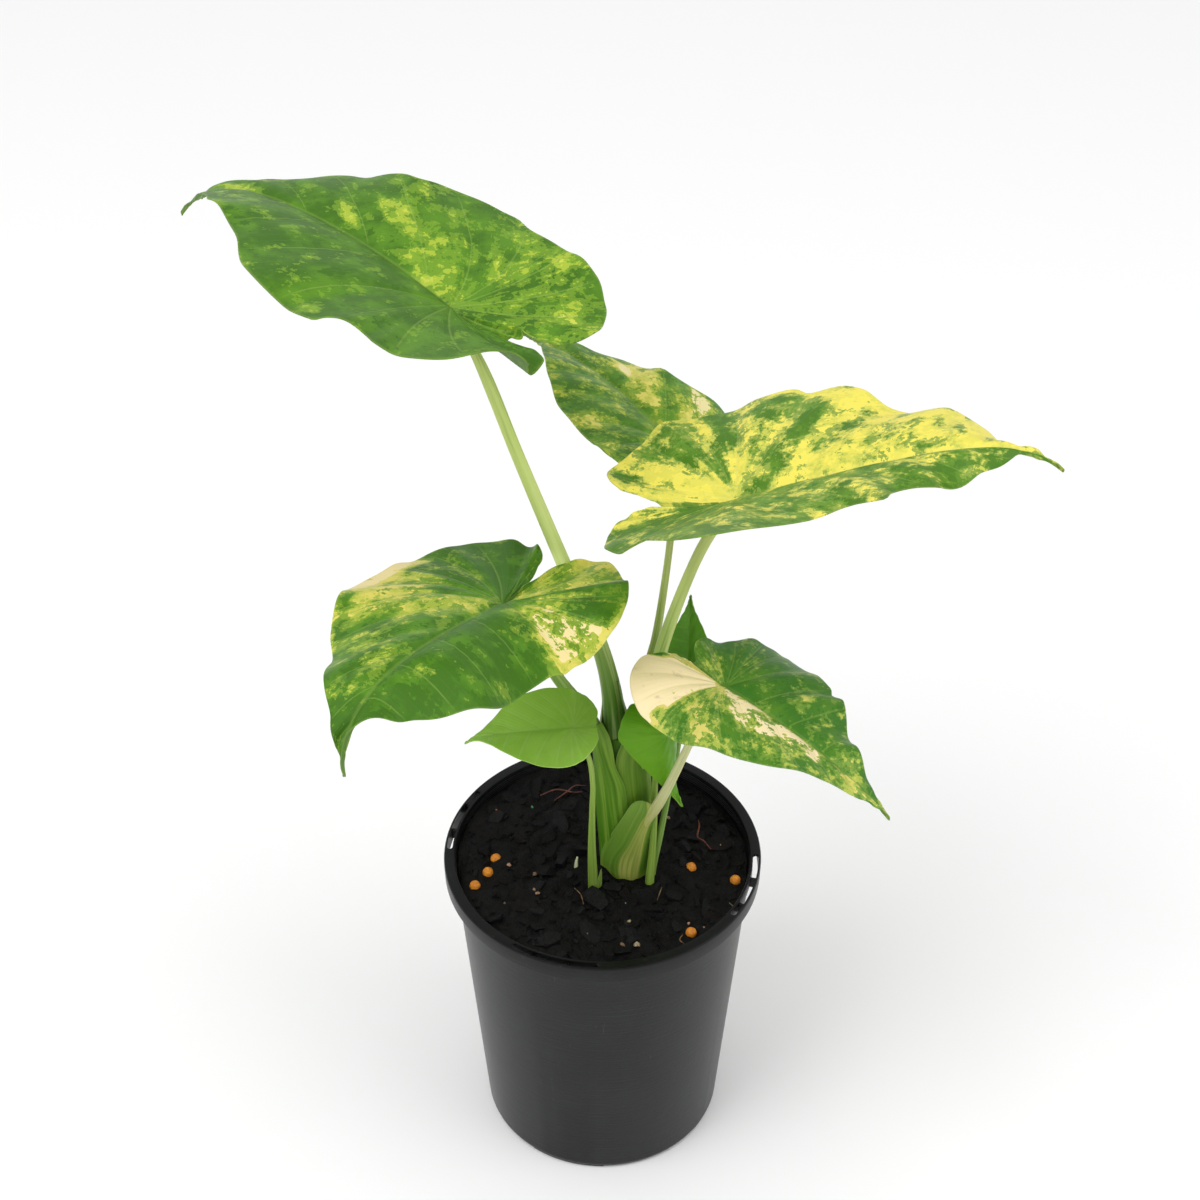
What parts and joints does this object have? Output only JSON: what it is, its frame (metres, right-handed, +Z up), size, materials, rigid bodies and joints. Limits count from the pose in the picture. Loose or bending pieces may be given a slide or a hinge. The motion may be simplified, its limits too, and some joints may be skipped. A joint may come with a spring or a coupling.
{
  "type": "potted elephant ear plant",
  "caption": "Variegated upright elephant ear with arrow-shaped leaves on tall stalks, growing in a round plastic nursery pot.",
  "frame": {"origin": "middle of the pot's underside", "axes": "+Z up, the plant's front towards -Y as in the picture, +X to its right"},
  "size_m": [0.3523, 0.3078, 0.4457],
  "materials": {
    "pot_plastic": "satin",
    "bark_mix": "matte",
    "stem": "satin",
    "leaf_green": "satin",
    "leaf_marbled": "satin",
    "leaf_yellow": "satin",
    "leaf_young": "satin",
    "sprout": "satin",
    "prill": "satin"
  },
  "bodies": {
    "root": {"pot": "pot_plastic", "growing_mix": "bark_mix", "pseudostem": "stem", "leaf_a": "leaf_green", "leaf_b": "leaf_marbled", "leaf_c": "leaf_green", "leaf_d": "leaf_yellow", "leaf_e": "leaf_marbled", "leaf_f": "leaf_young", "leaf_g": "leaf_young", "leaf_h": "leaf_young", "sprout": "sprout", "prill_1": "prill", "prill_2": "prill", "prill_3": "prill", "prill_4": "prill", "prill_5": "prill", "prill_6": "prill"}
  },
  "joints": []
}
